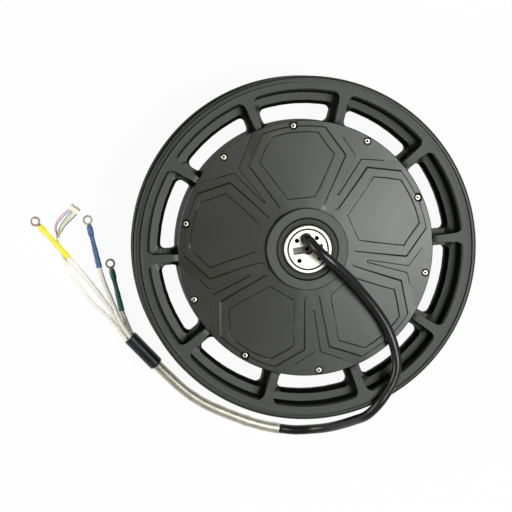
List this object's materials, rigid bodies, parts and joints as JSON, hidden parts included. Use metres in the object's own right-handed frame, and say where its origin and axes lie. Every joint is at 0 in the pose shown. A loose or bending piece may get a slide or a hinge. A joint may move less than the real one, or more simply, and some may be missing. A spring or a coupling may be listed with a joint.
{
  "type": "electric unicycle hub motor",
  "caption": "Hub motor for an electric unicycle: a cast wheel rim on an outrunner motor with patterned covers, a through axle and a cable to ring terminals and a sensor plug.",
  "frame": {"origin": "centre of the lower axle end face, which the motor stands on", "axes": "+Z along the axle towards the end with the cable; +X to the right and +Y to the top of the picture"},
  "size_m": [0.5005, 0.415, 0.1279],
  "materials": {
    "satin_black": "cast aluminium with a satin black coat",
    "matte_black": "cast aluminium with a matte black coat",
    "ring_steel": "turned mild steel",
    "magnet_nickel": "nickel plated magnets",
    "seal_rubber": "black nitrile rubber",
    "stainless": "polished stainless steel",
    "bearing_steel": "ground bearing steel",
    "cage_brass": "pressed brass",
    "turned_steel": "turned bright steel",
    "spring_steel": "black oxide spring steel",
    "spider_alloy": "machined cast aluminium",
    "lamination": "stacked silicon steel sheets",
    "insulator_plastic": "glass filled nylon",
    "copper": "enamelled copper wire in varnish",
    "board_green": "glass epoxy board",
    "sensor_black": "black plastic and shrink tube",
    "lead_white": "cream silicone rubber",
    "cable_black": "black cable jacket",
    "sleeve_silver": "silvery grey sleeve",
    "tube_yellow": "yellow shrink tube and insulation",
    "tube_blue": "blue shrink tube and insulation",
    "tube_green": "green shrink tube and insulation",
    "tinned": "tinned copper sheet",
    "wire_red": "pale red insulation",
    "connector_cream": "cream nylon"
  },
  "bodies": {
    "stator": {"cable_side_inner_race": "bearing_steel", "plain_side_inner_race": "bearing_steel", "cable_side_collar": "turned_steel", "plain_side_collar": "turned_steel", "axle": "turned_steel", "axle_key": "turned_steel", "spider_circlips": "spring_steel", "spider": "spider_alloy", "stator_core": "lamination", "cable_side_insulator": "insulator_plastic", "plain_side_insulator": "insulator_plastic", "coils_phase_a": "copper", "coils_phase_b": "copper", "coils_phase_c": "copper", "hall_board": "board_green", "hall_sensors": "sensor_black", "breakout_boot": "sensor_black", "hall_wire_black": "sensor_black", "phase_leads": "lead_white", "hall_lead": "lead_white", "phase_wire_yellow": "lead_white", "phase_wire_blue": "lead_white", "phase_wire_green": "lead_white", "hall_cable": "lead_white", "hall_wire_white": "lead_white", "main_cable": "cable_black", "cable_sleeve": "sleeve_silver", "sleeve_band": "sleeve_silver", "lug_tube_yellow": "tube_yellow", "hall_wire_yellow": "tube_yellow", "lug_tube_blue": "tube_blue", "hall_wire_blue": "tube_blue", "lug_tube_green": "tube_green", "hall_wire_green": "tube_green", "ring_terminal_yellow": "tinned", "ring_terminal_blue": "tinned", "ring_terminal_green": "tinned", "hall_contacts": "tinned", "hall_wire_red": "wire_red", "hall_connector": "connector_cream"},
    "rotor": {"wheel_casting": "satin_black", "flux_ring": "ring_steel", "magnets": "magnet_nickel", "cable_side_cover": "matte_black", "plain_side_cover": "matte_black", "cable_side_o_ring": "seal_rubber", "plain_side_o_ring": "seal_rubber", "cable_side_screws": "stainless", "plain_side_screws": "stainless", "cable_side_seal": "seal_rubber", "plain_side_seal": "seal_rubber", "cable_side_outer_race": "bearing_steel", "plain_side_outer_race": "bearing_steel", "cable_side_shields": "seal_rubber", "plain_side_shields": "seal_rubber"},
    "cable_side_ball_set": {"cable_side_balls": "bearing_steel", "cable_side_cage": "cage_brass"},
    "plain_side_ball_set": {"plain_side_balls": "bearing_steel", "plain_side_cage": "cage_brass"}
  },
  "joints": [
    {"name": "wheel_spin", "type": "hinge", "parent": "stator", "child": "rotor", "pos_m": [0, 0, 0.049], "axis": [0, 0, 1], "continuous": true},
    {"name": "cable_side_ball_spin", "type": "hinge", "parent": "stator", "child": "cable_side_ball_set", "pos_m": [0, 0, 0.081], "axis": [0, 0, 1], "continuous": true},
    {"name": "plain_side_ball_spin", "type": "hinge", "parent": "stator", "child": "plain_side_ball_set", "pos_m": [0, 0, 0.017], "axis": [0, 0, 1], "continuous": true}
  ],
  "couplings": [
    {"joint": "cable_side_ball_spin", "follows": "wheel_spin", "ratio": 0.5584},
    {"joint": "plain_side_ball_spin", "follows": "wheel_spin", "ratio": 0.5584}
  ]
}
